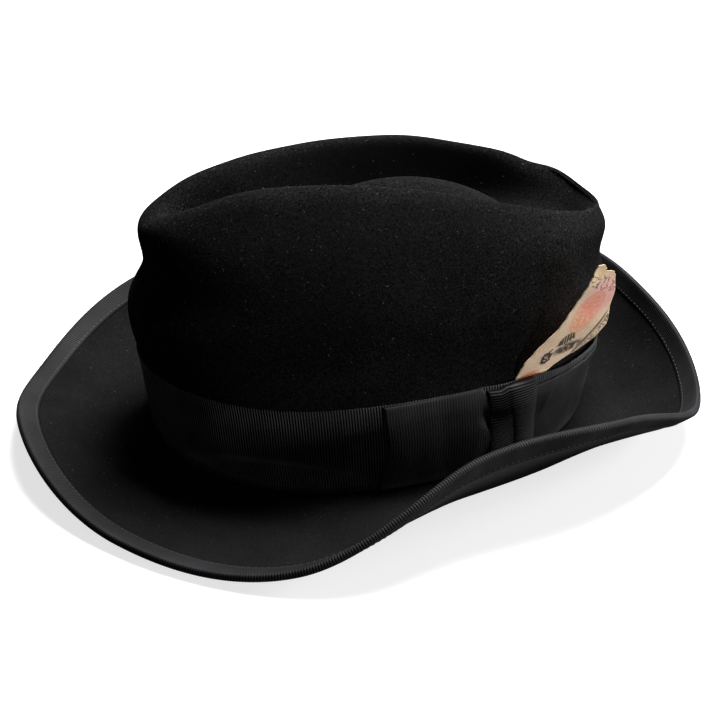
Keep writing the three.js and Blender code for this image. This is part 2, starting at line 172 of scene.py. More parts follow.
def controls(turn):
    """The control points at each turn, as an array of turns by points by xyz."""
    turn = np.asarray(turn, float)
    sine, cosine = np.sin(TURN * turn), np.cos(TURN * turn)
    rise = root_rise(turn)
    points = [np.tile(TOP_MIDDLE, (len(turn), 1))]
    for i, row in enumerate(CROWN):
        level = len(CROWN) - 1 - i
        mid, front, back, w_fore, w_side, w_rear, w_back, *heights = row
        length = mirrored(front, front, (front + back) / 2, back, back, turn)
        width = mirrored(w_fore, w_fore, w_side, w_rear, w_back, turn)
        height = mirrored(*heights, turn)
        if level < len(RISE_SHARE):
            height = height + RISE_SHARE[level] * rise
        for place in RIM:
            height = height - place[2] * fade(place, turn, level)
        outward = unit(np.column_stack([length * sine, -width * cosine, 0 * turn]))
        point = np.column_stack([width * sine, mid - length * cosine, height])
        for dent in DENTS:
            point -= outward * (dent[2] * fade(dent, turn, level))[:, None]
        points.append(point)
    root, root_out = points[-1], outward
    width, root_slope, edge_slope = (loop([row[k] for row in BRIM], turn) for k in range(3))
    share = np.arange(BRIM_STEPS + 1) / BRIM_STEPS
    steeper = (edge_slope - root_slope)[:, None] * share ** BRIM_CURL
    slope = np.radians(root_slope[:, None] + steeper)
    run = []
    for part in (np.cos(slope), np.sin(slope)):
        steps = (part[:, 1:] + part[:, :-1]) / 2 / BRIM_STEPS
        run.append(np.hstack([np.zeros((len(turn), 1)), np.cumsum(steps, axis=1)]))
    for at in BRIM_SHARES:
        i = min(int(at * BRIM_STEPS), BRIM_STEPS - 1)
        out, up = (lerp(r[:, i], r[:, i + 1], at * BRIM_STEPS - i) for r in run)
        point = root + root_out * (ROOT_RADIUS + width * out)[:, None]
        point[:, 2] = ROOT_HEIGHT + rise + width * up
        points.append(point)
    before = 2 * points[0] - points[1]
    before[:, 2] = 2 * TOP_RING - points[1][:, 2]
    after = 2 * points[-1] - points[-2]
    return np.stack([before, *points, after], axis=1)


def spline(ctrl, station):
    """Points at the stations, an array of turns by rows."""
    station = np.clip(station, 0, EDGE)
    i = np.minimum(np.floor(station).astype(int), EDGE - 1)
    f = station - i
    weights = (
        (1 - f) ** 3 / 6,
        (3 * f ** 3 - 6 * f ** 2 + 4) / 6,
        (-3 * f ** 3 + 3 * f ** 2 + 3 * f + 1) / 6,
        f ** 3 / 6,
    )
    rows = np.arange(len(ctrl))[:, None]
    return sum(w[..., None] * ctrl[rows, i + k] for k, w in enumerate(weights))


def rotation(degrees, j, k):
    """A turn of axis j towards axis k, as a matrix."""
    a = math.radians(degrees)
    turned = np.eye(3)
    turned[j, j] = turned[k, k] = math.cos(a)
    turned[k, j], turned[j, k] = math.sin(a), -math.sin(a)
    return turned


SETTLING = rotation(SETTLE_X, 1, 2) @ rotation(SETTLE_Y, 2, 0)


def felt(turn, station):
    """The felt's upper side, its outward normal and the direction towards the brim's edge."""
    turn = np.asarray(turn, float)
    station = np.broadcast_to(np.asarray(station, float), (len(turn), np.shape(station)[-1]))
    ctrl = controls(turn)
    point = spline(ctrl, station) @ SETTLING.T
    out = spline(ctrl, station + SMALL) - spline(ctrl, station - SMALL)
    around = spline(controls(turn + SMALL), station) - spline(controls(turn - SMALL), station)
    out, around = unit(out @ SETTLING.T), around @ SETTLING.T
    return point, unit(np.cross(out, around)), out


def wall_station(turn, height):
    """Stations of the crown's wall at heights above the root line, turns by rows."""
    ctrl = controls(turn)
    rise = root_rise(turn)[:, None]
    low = np.full(height.shape, ROOT - 4.0)
    high = np.full(height.shape, float(ROOT))
    for _ in range(30):
        middle = (low + high) / 2
        above = spline(ctrl, middle)[..., 2] - rise > height
        low, high = np.where(above, middle, low), np.where(above, high, middle)
    return (low + high) / 2


def wall(turn, height, out):
    """Places on the crown's wall. Height and out are turns by rows, and turn may be too."""
    shape = height.shape
    flat = np.broadcast_to(turn if turn.ndim == 2 else turn[:, None], shape).ravel()
    rows = height.reshape(-1, 1)
    point = spline(controls(flat), wall_station(flat, rows))[:, 0]
    beside = flat + SMALL
    around = spline(controls(beside), wall_station(beside, rows))[:, 0] - point
    outward = unit(np.column_stack([around[:, 1], -around[:, 0], 0 * flat]))
    point = point + outward * np.broadcast_to(out, shape).ravel()[:, None]
    point[:, 2] = rows[:, 0] + root_rise(flat)
    return (point @ SETTLING.T).reshape(*shape, 3)


def pocket(turn, height):
    """How far the free part of the slip bends the band out."""
    rise = np.maximum(height - TUCK_FOOT, 0) / (BAND_TOP - TUCK_FOOT)
    return POCKET_DEPTH * window(POCKET, turn * 360) * rise


def band_stand(turn, height):
    """How far the band stands off the wall where the slip is tucked behind it."""
    along = np.clip((height - TUCK_FOOT) / (TUCK_FULL - TUCK_FOOT), 0, 1)
    return (SLIP + 2 * GAP) * window(TUCK, turn * 360) * along + pocket(turn, height)


# Part: meshes


def add(name, data):
    """A new object in the scene."""
    made = bpy.data.objects.new(name, data)
    bpy.context.scene.collection.objects.link(made)
    return made


def make(name, points, faces, material, slot, node=None, body="root", **attributes):
    """A mesh piece in the row frame that rides on a body and stands for a node. The slot is not
    used.
    """
    points = (np.asarray(points, float).reshape(-1, 3) - ORIGIN) * MM
    mesh = bpy.data.meshes.new(name)
    mesh.from_pydata(points.tolist(), [], [list(map(int, f)) for f in faces])
    mesh.update()
    for key, values in attributes.items():
        if np.ndim(values) == 2:
            layer = mesh.uv_layers.new(name=key)
            corner = np.zeros(len(mesh.loops), np.int32)
            mesh.loops.foreach_get("vertex_index", corner)
            layer.data.foreach_set("uv", np.asarray(values, np.float32)[corner].ravel())
        else:
            made = mesh.attributes.new(key, "FLOAT", "POINT")
            made.data.foreach_set("value", np.asarray(values, np.float32))
    mesh.polygons.foreach_set("use_smooth", [True] * len(mesh.polygons))
    mesh.materials.append(material)
    piece = add(name, mesh)
    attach(piece, body)
    if node:
        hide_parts(node)


def grid_faces(columns, rows, closed_columns=False, closed_rows=False):
    """Quads over a grid of points whose index is column * rows + row."""
    i = np.arange(columns if closed_columns else columns - 1)
    j = np.arange(rows if closed_rows else rows - 1)
    i, j = (v.ravel() for v in np.meshgrid(i, j, indexing="ij"))
    i2, j2 = (i + 1) % columns, (j + 1) % rows
    return np.column_stack([i * rows + j, i2 * rows + j, i2 * rows + j2, i * rows + j2])


def oriented(points, faces):
    """The faces turned so that the closed mesh's volume is positive."""
    p = np.asarray(points, float).reshape(-1, 3)
    p = p - p.mean(0)
    f = np.asarray(faces)
    a, b, c, d = (p[f[:, k]] for k in range(4))
    volume = np.einsum("ij,ij->", a, np.cross(b, c)) + np.einsum("ij,ij->", a, np.cross(c, d))
    return f if volume > 0 else f[:, ::-1]


def sheet(outer, inner):
    """Points and faces of a closed sheet between two grids of columns by rows."""
    columns, rows = outer.shape[:2]
    back = columns * rows
    front = grid_faces(columns, rows)
    i, j = np.arange(columns - 1), np.arange(rows - 1)
    sides = []
    for row in (0, rows - 1):
        a, b = i * rows + row, (i + 1) * rows + row
        side = np.column_stack([a, a + back, b + back, b])
        sides.append(side if row == 0 else side[:, ::-1])
    for column in (0, columns - 1):
        a = column * rows + j
        side = np.column_stack([a, a + 1, a + 1 + back, a + back])
        sides.append(side if column == 0 else side[:, ::-1])
    points = np.concatenate([outer.reshape(-1, 3), inner.reshape(-1, 3)])
    return points, oriented(points, np.vstack([front, front[:, ::-1] + back, *sides]))


def tube_faces(count, stations, sides):
    """Faces of separate closed tubes, each a row of rings of points."""
    quads = grid_faces(stations, sides, closed_rows=True)[:, [0, 3, 2, 1]]
    ends = [range(sides)[::-1], range((stations - 1) * sides, stations * sides)]
    return [tuple(i * stations * sides + v for v in face)
            for i in range(count) for face in (*quads, *ends)]


# Ribs of the ribbons: their pitch, their roundness and their heights.
RIB_PITCH, RIB_ROUND = 1.15, 0.8
RIB_HEIGHT, BOW_RIB_HEIGHT, KNOT_RIB_HEIGHT, BINDING_RIB_HEIGHT = 0.2, 0.045, 0.38, 0.12


def lengths(points):
    """How far along a line each of its points lies."""
    return np.concatenate([[0], np.cumsum(np.linalg.norm(np.diff(points, axis=0), axis=1))])


def even_turns(line, per_rib, low=0.0, high=1.0):
    """Turns evenly spaced along a line, so many to a rib, and the line's length."""
    turn = np.linspace(low, high, 4001)
    arc = lengths(line(turn))
    ribs = max(1, round(arc[-1] / RIB_PITCH))
    even = np.linspace(0, arc[-1], ribs * per_rib + 1)
    return np.interp(even, arc, turn), arc[-1]


def rib(count, per_rib):
    """The height of a row of rounded ribs with narrow valleys, from -1 to 1."""
    phase = np.arange(count) / per_rib
    return 2 * np.abs(np.cos(math.pi * phase)) ** RIB_ROUND - 1


# Part: materials


class Graph:
    """A short way to write a material's nodes."""

    def __init__(self, name):
        self.material = bpy.data.materials.new(name)
        self.material.use_nodes = True
        self.tree = self.material.node_tree
        self.tree.nodes.clear()
        output = self.node("ShaderNodeOutputMaterial")
        self.shader = self.node("ShaderNodeBsdfPrincipled")
        self.link(self.shader.outputs[0], output.inputs["Surface"])

    def node(self, kind, **values):
        made = self.tree.nodes.new(kind)
        for key, value in values.items():
            setattr(made, key, value)
        return made

    def link(self, a, b):
        self.tree.links.new(a, b)

    def put(self, socket, value):
        if isinstance(value, bpy.types.NodeSocket):
            self.link(value, socket)
        else:
            socket.default_value = value

    def set(self, node, values):
        """Plain values or links for a node's sockets, by name."""
        for name, value in values.items():
            self.put(node.inputs[name], value)

    def math(self, operation, a, b=0.0):
        made = self.node("ShaderNodeMath", operation=operation)
        for socket, value in zip(made.inputs, (a, b)):
            self.put(socket, value)
        return made.outputs[0]

    def plus(self, a, b):
        return self.math("ADD", a, b)

    def minus(self, a, b):
        return self.math("SUBTRACT", a, b)

    def times(self, a, b):
        return self.math("MULTIPLY", a, b)

    def over(self, a, b):
        return self.math("DIVIDE", a, b)

    def size(self, a):
        return self.math("ABSOLUTE", a)

    def scaled(self, source, scale):
        mapping = self.node("ShaderNodeMapping")
        self.set(mapping, {"Vector": source, "Scale": scale})
        return mapping.outputs[0]

    def millimetres(self):
        source = self.node("ShaderNodeTexCoord").outputs["Object"]
        return self.scaled(source, (1 / MM, 1 / MM, 1 / MM))

    def noise(self, vector, scale, detail, roughness, distortion=0.0):
        made = self.node("ShaderNodeTexNoise")
        self.set(made, {"Vector": vector, "Scale": scale, "Detail": detail,
                        "Roughness": roughness, "Distortion": distortion})
        return made.outputs["Fac"]

    def remap(self, value, low, high, out_low=0.0, out_high=1.0):
        made = self.node("ShaderNodeMapRange", interpolation_type="SMOOTHSTEP")
        for socket, v in zip(made.inputs, (value, low, high, out_low, out_high)):
            self.put(socket, v)
        return made.outputs[0]

    def mix(self, share, a, b):
        made = self.node("ShaderNodeMix", data_type="RGBA")
        colours = [s for s in made.inputs if s.type == "RGBA"]
        self.put(made.inputs[0], share)
        for socket, value in zip(colours, (a, b)):
            self.put(socket, value if isinstance(value, bpy.types.NodeSocket) else (*value, 1))
        return next(s for s in made.outputs if s.type == "RGBA")

    def bump(self, height, distance, strength):
        made = self.node("ShaderNodeBump")
        self.set(made, {"Strength": strength, "Distance": distance, "Height": height})
        return made.outputs[0]

    def attribute(self, name):
        return self.node("ShaderNodeAttribute", attribute_name=name).outputs["Fac"]


# Colours of the felt: dim and bright tips of its nap, deep nap, painted shade on the crease's
# slopes and under the near ridge, dust with painted bounce light under the brim, and specks.
NAP_DIM, NAP_BRIGHT = (0.0122, 0.0120, 0.0122), (0.0172, 0.0170, 0.0172)
NAP_DEEP, NAP_PAINTED_SHADE = (0.0012, 0.0012, 0.0013), (0.0010, 0.0010, 0.0011)
FELT_DUST_AND_BOUNCE, FELT_SPECK = (0.07, 0.07, 0.073), (0.07, 0.066, 0.06)


def felt_material():
    """Nap of fine fibres, dark between them, with a faint mottle and specks, painted shade in the
    crease and under the near ridge, and dust with painted bounce light under the brim.
    """
    g = Graph("black_felt")
    where = g.millimetres()
    mottle = g.noise(where, 0.03, 3, 0.55)
    nap = g.noise(where, 1.15, 3, 0.65, 1.2)
    fibre = g.noise(where, 2.6, 2, 0.6, 0.8)
    specks = g.remap(g.noise(where, 1.0, 1, 0.4), 0.765, 0.80)
    grain = g.remap(g.plus(g.times(nap, 0.62), g.times(fibre, 0.38)), 0.40, 0.62)
    loose = g.minus(1, g.attribute("brushed"))
    grain = g.plus(g.times(g.minus(grain, 0.5), loose), 0.5)
    base = g.mix(grain, NAP_DEEP, g.mix(g.remap(mottle, 0.3, 0.7), NAP_DIM, NAP_BRIGHT))
    # Painted shade: the crease's inner slopes and the crown's wall under the near ridge are
    # darkened.
    base = g.mix(g.attribute("painted_shade"), base, NAP_PAINTED_SHADE)
    # The brim's underside near its edge is lighter: partly dust, partly painted bounce light from
    # the floor.
    base = g.mix(g.attribute("dust_and_bounce"), base, FELT_DUST_AND_BOUNCE)
    height = g.plus(g.times(nap, 0.7), g.times(fibre, 0.45))
    g.set(g.shader, {
        "Base Color": g.mix(specks, base, FELT_SPECK),
        "Roughness": 0.95,
        "Specular IOR Level": 0.01,
        "Sheen Weight": 0.003,
        "Sheen Roughness": 0.4,
        "Sheen Tint": (0.8, 0.8, 0.83, 1),
        "Normal": g.bump(height, 0.0003, 1.0),
    })
    return g.material


def ribbon_material(name, tint, valley_shade=0.03, shade_heights=(-0.5, 0.9)):
    """Ribbed ribbon: fine threads cross the ribs, and the ribs' crowns are a little worn.

    The ribs' valleys get painted shade: valley_shade is the share of the tint left there, and
    shade_heights the heights of a rib between which it gives way to the full colour.
    """
    g = Graph(name)
    where = g.millimetres()
    shade = lambda share: [share * c for c in tint]
    mottle = g.noise(where, 0.06, 2, 0.5)
    fuzz = g.noise(where, 1.7, 2, 0.55)
    crown = g.attribute("rib")
    wear = g.times(g.remap(crown, -0.2, 1), g.remap(mottle, 0.35, 0.7))
    base = g.mix(g.remap(fuzz, 0.3, 0.7), shade(0.72), shade(1.2))
    colour = g.mix(g.times(wear, 0.5), base, shade(2.6))
    g.set(g.shader, {
        # Painted shade: the ribs' valleys are darkened.
        "Base Color": g.mix(g.remap(crown, *shade_heights), shade(valley_shade), colour),
        "Roughness": 0.62,
        "Specular IOR Level": 0.1,
        "Sheen Weight": 0.004,
        "Sheen Roughness": 0.5,
        "Normal": g.bump(fuzz, 0.00012, 0.6),
    })
    return g.material


def thread_material(name, dark, light):
    g = Graph(name)
    strand = g.noise(g.millimetres(), 3.0, 2, 0.5)
    g.set(g.shader, {
        "Base Color": g.mix(strand, dark, light),
        "Roughness": 0.6,
        "Normal": g.bump(strand, 0.0001, 0.5),
    })
    return g.material


FELT_LOOK = felt_material()
BAND_LOOK = ribbon_material("black_grosgrain", (0.058, 0.058, 0.061), shade_heights=(0.25, 1))
BOW_LOOK = ribbon_material("black_bow", (0.0195, 0.0195, 0.0208), valley_shade=0.88)
KNOT_LOOK = ribbon_material("black_knot", (0.025, 0.025, 0.0265), shade_heights=(0.35, 1))
BINDING_LOOK = ribbon_material("black_binding", (0.0165, 0.0165, 0.018), shade_heights=(-0.1, 1))
THREAD_LOOK = thread_material("black_thread", (0.008, 0.008, 0.009), (0.03, 0.03, 0.032))
LINT_LOOK = thread_material("grey_lint", (0.02, 0.0195, 0.0185), (0.14, 0.135, 0.125))


# Part: the felt body

# Rows of the felt's upper side over the crown, round the root and over the brim: low high count
FELT_ROWS = [(0.12, 9.2, 96), (9.2, ROOT, 22), (ROOT, EDGE, 46)]
FELT_COLUMNS = 288
EDGE_IN = 0.35
# The least heights above the floor of the brim's upper and lower side.
UPPER_CLEAR, LOWER_CLEAR = FELT * 0.8, 0.02
# Slow waves of the felt: how many around, their turn from row to row, their start and share.
RIPPLES = [(5, 0.9, 0.7, 1), (9, -1.7, 2.1, 0.8), (14, 2.3, 4.0, 0.6)]
RIPPLE_HEIGHT, CROWN_WAVES, BRIM_WAVES = 0.16, (2, 4, 8.6, 9.6), (13.4, 15, 18, 19)
# How strong the painted shade is on the crease's slopes and on the crown's left front under the
# near ridge, how strong the dust and painted bounce light are on the brim's underside, and how
# brushed the brim is. Then the rows of each.
CREASE_SHADE, RIDGE_SHADE, DUST_AND_BOUNCE, BRUSHED = 0.92, 0.52, 0.9, 0.6
CREASE_SHADE_SIDES, CREASE_SHADE_ROWS = (0.1, 0.5, 1, 0.9, 0.2), (1.2, 2, 3.9, 4.7)
RIDGE_SHADE_ROWS, RIDGE_SHADE_AT, RIDGE_SHADE_HALF = (5, 5.8, 8.4, 9.4), 64, 45
DUST_AND_BOUNCE_ROWS, BRUSHED_ROWS = (17, 19), (12, 14)


def felt_shades(turns, upper_rows, lower_rows):
    """How much painted shade, dust with painted bounce light, and brushing the felt has at each
    point, and at its two last ones.
    """
    # Painted shade on the crease's slopes, and on the crown's wall under the near ridge.
    slopes = mirrored(*CREASE_SHADE_SIDES, turns)[:, None] * window(CREASE_SHADE_ROWS, upper_rows)
    under_ridge = hump(turns * 360, RIDGE_SHADE_AT, RIDGE_SHADE_HALF)[:, None] * window(RIDGE_SHADE_ROWS, upper_rows)
    painted_shade = np.maximum(CREASE_SHADE * slopes, RIDGE_SHADE * under_ridge)
    painted_shade = np.hstack([painted_shade, np.zeros((len(turns), len(lower_rows)))])
    # Dust and painted bounce light on the brim's underside near its edge.
    dust_and_bounce = np.concatenate([0 * upper_rows, DUST_AND_BOUNCE * smooth(*DUST_AND_BOUNCE_ROWS, lower_rows)])
    brushed = BRUSHED * smooth(*BRUSHED_ROWS, np.concatenate([upper_rows, lower_rows]))
    shades = {"painted_shade": painted_shade, "dust_and_bounce": dust_and_bounce, "brushed": brushed}
    return {name: np.append(np.broadcast_to(shade, painted_shade.shape), [0, 0])
            for name, shade in shades.items()}


def felt_piece():
    turns = np.arange(FELT_COLUMNS) / FELT_COLUMNS
    upper_rows = np.concatenate([
        np.linspace(low, high, count, endpoint=high == EDGE) for low, high, count in FELT_ROWS
    ])
    point, normal, out = felt(turns, upper_rows)
    around = TURN * turns[:, None]
    loose = window(CROWN_WAVES, upper_rows) + window(BRIM_WAVES, upper_rows)
    ripple = sum(share * np.sin(waves * around + drift * upper_rows + start)
                 for waves, drift, start, share in RIPPLES)
    point = point + normal * (RIPPLE_HEIGHT * ripple * loose)[..., None]
    end = out * np.where(upper_rows >= EDGE, EDGE_IN, 0)[None, :, None]
    every_other = slice(None, None, 2)
    upper = point - end
    lower = (point - normal * FELT - end)[:, every_other][:, ::-1]
    upper[..., 2] = np.maximum(upper[..., 2], SURFACE + UPPER_CLEAR)
    lower[..., 2] = np.maximum(lower[..., 2], SURFACE + LOWER_CLEAR)
    rows = np.concatenate([upper, lower], axis=1)
    count = rows.shape[1]
    top, _, _ = felt(np.zeros(1), np.zeros((1, 1)))
    under = top[0, 0] - (0, 0, FELT)
    points = np.vstack([rows.reshape(-1, 3), top[0], under[None]])
    grid = grid_faces(FELT_COLUMNS, count, closed_columns=True)
    faces = oriented(points, grid)
    first, last = len(points) - 2, len(points) - 1
    caps = [(first, b, a) for a, b, _, _ in grid[::count - 1]]
    caps += [(last, a, b) for _, _, b, a in grid[count - 2::count - 1]]
    if not np.array_equal(faces[0], grid[0]):
        caps = [c[::-1] for c in caps]
    make("felt_shell", points, [*faces, *caps], FELT_LOOK, node="felt_body", slot="felt",
         **felt_shades(turns, upper_rows, upper_rows[every_other][::-1]))


# Clinging fibres: how many, and the rows that they lie on (first, span and power of the draw).
CROWN_LINT, BRIM_LINT = (800, 4.2, 4.6, 1.3), (160, 13.5, 4.8, 1)
LINT_SEED, LINT_RADIUS, LINT_STATIONS, LINT_SIDES = 11, 0.028, 5, 3
# Their length: the least and the draw's span. Their curl, and their height at mid and end.
LINT_SHORT, LINT_SPAN, LINT_CURL, LINT_HIGH, LINT_LOW = 0.5, 1.5, 0.35, 0.16, 0.06


def lint():
    """Short fibres that cling to the felt, curved and lying in the nap."""
    draws = np.random.default_rng(LINT_SEED)
    count = CROWN_LINT[0] + BRIM_LINT[0]
    turn = draws.random(count)
    station = np.concatenate([first + span * draws.random(part) ** power
                              for part, first, span, power in (CROWN_LINT, BRIM_LINT)])
    point, normal, out = (v[:, 0] for v in felt(turn, station[:, None]))
    angle = TURN * draws.random(count)[:, None]
    forward = out * np.cos(angle) + np.cross(normal, out) * np.sin(angle)
    side = np.cross(normal, forward)
    length = (LINT_SHORT + LINT_SPAN * draws.random(count) ** 2)[:, None]
    curl = draws.normal(0, LINT_CURL, count)[:, None]
    points = []
    for step in np.linspace(-1, 1, LINT_STATIONS):
        centre = point + forward * length * step / 2 + side * curl * length * step ** 2
        centre = centre + normal * (LINT_HIGH - (LINT_HIGH - LINT_LOW) * step ** 2)
        for k in range(LINT_SIDES):
            a = TURN * k / LINT_SIDES
            points.append(centre + LINT_RADIUS * (side * math.cos(a) + normal * math.sin(a)))
    faces = tube_faces(count, LINT_STATIONS, LINT_SIDES)
    make("felt_lint", np.stack(points, axis=1), faces, LINT_LOOK, slot="felt")


felt_piece()
lint()


# Part: the band

# Heights of the band's rows outside and inside, the hem along its edges, and the share of
# their height that the ribs keep there.
BAND_HEM, HEM_RIBS = 0.25, 0.4
OUTER_ROWS = np.array([BAND_FOOT, BAND_FOOT + BAND_HEM, 8, 12, 17, 22, 27, 32, 36.5,
                       BAND_TOP - BAND_HEM, BAND_TOP])
INNER_ROWS = np.array([BAND_TOP, 32, 22, BAND_FOOT])
# How far the band's top edge has sunk, above which height, and between which angles.
BAND_SAG, SAG_FOOT, SAG = 2.6, 27, (112, 128, 141, 152)


def band_point(turn, height, out):
    """A place off the band's inner face."""
    turn = np.broadcast_to(turn, height.shape)
    return wall(turn, height, GAP * 0.5 + band_stand(turn, height) + out)


def band_line(turn):
    """The line along which the ribs are spaced."""
    height = np.full((len(turn), 1), BAND_MIDDLE)
    return wall(turn, height, 0 * height)[:, 0]


def band_sag(turn):
    """How far the band's top edge has sunk where the slip pushes it outwards."""
    return BAND_SAG * window(SAG, turn * 360)


def band_piece():
    per_rib = 5
    turns = even_turns(band_line, per_rib)[0][:-1]
    ridge = rib(len(turns), per_rib)[:, None]
    hem = np.isin(OUTER_ROWS, (BAND_FOOT, BAND_TOP))
    out = RIBBON - BAND_HEM * hem + RIB_HEIGHT * ridge * np.where(hem, HEM_RIBS, 1)
    sunk = lambda rows: rows - band_sag(turns)[:, None] * smooth(SAG_FOOT, BAND_TOP, rows)
    outer = band_point(turns[:, None], sunk(OUTER_ROWS), out)
    inner = band_point(turns[:, None], sunk(INNER_ROWS), 0.0)
    rows = np.concatenate([outer, inner], axis=1)
    faces = oriented(rows, grid_faces(len(turns), rows.shape[1], True, True))
    ridges = np.broadcast_to(ridge, rows.shape[:2]).ravel()
    make("hat_ribbon", rows, faces, BAND_LOOK, node="hat_band", slot="ribbon", rib=ridges)


band_piece()


# Part: the bow

# Angles of the bow's edges and pleat, and heights of its wings.
BOW_LEFT, KNOT_LEFT, PLEAT, KNOT_RIGHT, BOW_RIGHT = 77, 102.5, 109.6, 115.5, 156
WING_FOOT, WING_TOP = BAND_FOOT + 0.3, BAND_TOP - 0.3
# The bow's ribbon, how far it lies off the band, and how far its hidden back is sunk.
BOW_RIBBON, BOW_SEAT, BOW_BACK = 0.6, 0.45, 0.3
# The share of a wing's height over which its edges thin, and by how much.
WING_HEM, HEM_THIN = 0.02, 0.2


def bow_piece(name, node, look, turn, height, ridge, outer, inner):
    """A sheet of ribbon over the band, with ribs raised on its outside already."""
    stand = lambda out: band_point(turn, height, RIBBON + BOW_SEAT + out)
    points, faces = sheet(stand(outer), stand(inner))
    make(name, points, faces, look, node=node, slot="ribbon", rib=np.append(ridge, 0 * ridge))


def wing(name, node, low, high, foot, top, outer, layers, rows, lean=None):
    """A wing of the bow with upright ribs. The functions take u along and v up, both grids."""
    per_rib = 6
    turns, length = even_turns(band_line, per_rib, low / 360, high / 360)
    u = ((turns * 360 - low) / (high - low))[:, None]
    u, v = np.broadcast_arrays(u, np.linspace(0, 1, rows)[None, :])
    turn = lerp(low, high, u) / 360
    if lean:
        turn = turn + lean(u, v) / 360
    ridge = np.broadcast_to(rib(len(turns), per_rib)[:, None], u.shape)
    edge = np.minimum(np.minimum(v, 1 - v) / WING_HEM, 1)
    face = outer(u, v, length)
    raised = face + BOW_RIB_HEIGHT * ridge - HEM_THIN * (1 - edge)
    bow_piece(name, node, BOW_LOOK, turn, lerp(foot(u), top(u), v), ridge, raised,
              np.maximum(face - BOW_RIBBON * layers, -BOW_BACK))


def left_wing():
    """The long wing: folded at its front edge, fuller and then hollow towards the knot."""
    fold, loose, full, hollow, drop, lift = 1.0, 0.9, 1.7, 1.7, 5.5, 3

    def outer(u, v, length):
        out = loose * (1 - smooth(0, 0.35, u))
        out = out + full * smooth(0.5, 0.9, u) * np.sin(math.pi * v) ** 0.8
        pinch = hollow * hump(u, 0.97, 0.06) * hump(v, 0.66, 0.09)
        return (BOW_RIBBON + out) * rounded(np.clip(u * length / fold, 0, 1)) - pinch

    top = lambda u: WING_TOP + 0.4 * smooth(0.2, 0.8, u) - drop * smooth(0.9, 1, u) ** 1.5
    foot = lambda u: WING_FOOT + lift * smooth(0.8, 1, u)
    lean = lambda u, v: -(1 - u) ** 2 * (0.4 * smooth(0.5, 1, v) + 2.6 * (1 - smooth(0, 0.5, v)))
    wing("bow_left", "bow_left_wing", BOW_LEFT + 0.8, KNOT_LEFT + 0.6, foot, top, outer, 2, 44,
         lean)


def right_wing():
    """The short wing: full beside the knot, with an upright and a slanting crease."""
    full, crease, slant, end = 1.1, 0.5, 0.5, 0.8

    def outer(u, v, length):
        out = full * (1 - smooth(0.05, 0.5, u)) * np.sin(math.pi * v)
        out = out + crease * hump(u, 0.46 + 0.10 * (v - 0.5), 0.025) * smooth(0.1, 0.4, v)
        out = out + slant * hump(u, 0.13 + 0.16 * (v - 0.75), 0.03) * smooth(0.45, 0.7, v)
        return (BOW_RIBBON + out) * rounded(np.clip((1 - u) * length / end, 0, 1))

    near = lambda u: 1 - smooth(0, 0.2, u)
    far = lambda u: smooth(0.8, 1, u)
    sag = lambda u: band_sag(lerp(KNOT_RIGHT, BOW_RIGHT, u) / 360)
    top = lambda u: BAND_TOP - 3 - sag(u) - 1.5 * (near(u) + far(u))
    foot = lambda u: WING_FOOT + 2 * near(u)
    wing("bow_right", "bow_right_wing", KNOT_RIGHT - 0.3, BOW_RIGHT, foot, top, outer, 1.6, 36)


def knot():
    """Two pleats of ribbon wrapped over the bow's middle, with ribs that run along it."""
    columns, per_rib = 46, 6
    rows = round((BAND_TOP - WING_FOOT) / RIB_PITCH) * per_rib + 1
    across, upwards = np.linspace(0, 1, columns)[:, None], np.linspace(0, 1, rows)[None, :]
    u, v = np.broadcast_arrays(across, upwards)
    middle = (PLEAT - KNOT_LEFT) / (KNOT_RIGHT - KNOT_LEFT)
    in_front, behind = u / middle, (u - middle) / (1 - middle)
    # The knot's left edge, the fold between its pleats and its right edge lean as they rise.
    left = KNOT_LEFT + 0.9 * (1 - v)
    pleat = PLEAT - 2.9 * smooth(0.25, 1, v)
    right = KNOT_RIGHT + 1.7 - 2.5 * v
    turn = np.where(u < middle, lerp(left, pleat, in_front), lerp(pleat, right, behind)) / 360
    height = lerp(WING_FOOT, BAND_TOP - 1.6 + 1.8 * smooth(0.3, 0.7, u), v)
    arch = lambda x: np.clip(1 - (2 * x - 1) ** 2, 0, 1) ** 0.25
    dent = 1.1 * hump(v, 0.70, 0.07) * hump(u, 0.12, 0.3)
    front_out = 1.3 + 1.5 * arch(0.5 * np.clip(in_front, 0, 1) + 0.02) - dent
    rear_out = 1.5 + 2.3 * arch(np.clip(behind, 0, 1))
    drop = 1.3 * (1 - rounded(np.clip(np.minimum(v, 1 - v) / 0.05, 0, 1)))
    ridge = np.broadcast_to(rib(rows, per_rib)[None, :], u.shape)
    outer = np.where(u < middle, front_out, rear_out) - drop + KNOT_RIB_HEIGHT * ridge
    bow_piece("bow_pleats", "bow_knot", KNOT_LOOK, turn, height, ridge, outer,
              np.full(u.shape, -0.2))


left_wing()
right_wing()
knot()


# Part: the brim's binding

# The binding's first row, and how far it reaches above, below and beyond the felt's edge.
BINDING_START = EDGE - 1.4
BIND_UPPER, BIND_LOWER, BIND_OUT = 0.55, -2.65, 0.95
# Its upper strip, from its inner edge outwards: share of its width, height over the felt, and
# how much its ribs show, or how dark it is where that is negative.
UPPER_STRIP = [
    (0, 0.1, -1),
    (0.04, 0.3, -0.6),
    (0.1, 0.5, 0.3),
    (0.25, 0.55, 0.4),
    (0.5, 0.55, 0.5),
    (0.75, 0.55, 0.7),
    (1, 0.5, 1),
]
# The parts of its rounded lip, the height of the ribs there and below, and how much they show.
LIP_PARTS, LIP_RIBS, LOWER_RIBS, LOWER_SHOWN = 6, 0.15, 0.03, 0.15
# The inner face, from below: row of the strip, height over the felt, reach, and least height.
INNER_FACE = [(0, -1.6, 0, 0.3), (-1, -1.9, -0.2, 0.4), (-1, -0.1, -0.2, 2.0), (0, -0.2, 0, 2.1)]
